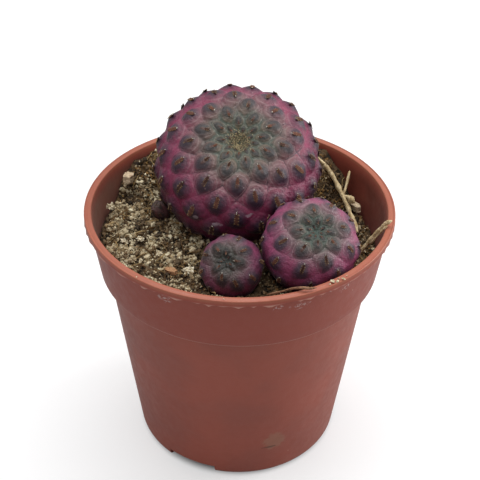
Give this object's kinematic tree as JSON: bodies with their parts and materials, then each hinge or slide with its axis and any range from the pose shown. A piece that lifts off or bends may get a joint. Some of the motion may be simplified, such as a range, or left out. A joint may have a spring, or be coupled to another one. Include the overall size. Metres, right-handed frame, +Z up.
{
  "type": "potted round cactus",
  "caption": "Clump of small flattened round cactus heads with spiralled tubercles, growing in a tapered plastic nursery pot with a collar and drainage notches.",
  "frame": {"origin": "middle of the pot's foot, on the surface that it stands on", "axes": "+Z up along the pot's axis; -Y is the front, where the small offsets are; +X is the viewer's right from the front"},
  "size_m": [0.055, 0.055, 0.065],
  "materials": {
    "pot": "terracotta-coloured moulded plastic, satin",
    "soil": "rough fibrous potting compost with pale grit",
    "cactus": "waxy living skin, magenta furrows and grey-green tubercles",
    "bud": "brownish purple young skin",
    "straw": "dry pale straw",
    "bark": "dry pale bark",
    "pumice": "cream pumice grit"
  },
  "bodies": {
    "root": {"pot": "pot", "potting_soil": "soil", "main_stem": "cactus", "right_offset": "cactus", "front_offset": "cactus", "left_pup": "bud", "straw_right": "straw", "straw_back": "straw", "rim_fibre": "straw", "bark_chip_left": "bark", "bark_chip_front": "bark", "bark_chip_right": "bark", "pumice_grain_1": "pumice", "pumice_grain_2": "pumice", "pumice_grain_3": "pumice", "pumice_grain_4": "pumice", "pumice_grain_5": "pumice", "pumice_grain_6": "pumice", "pumice_grain_7": "pumice", "pumice_grain_8": "pumice"}
  },
  "joints": []
}
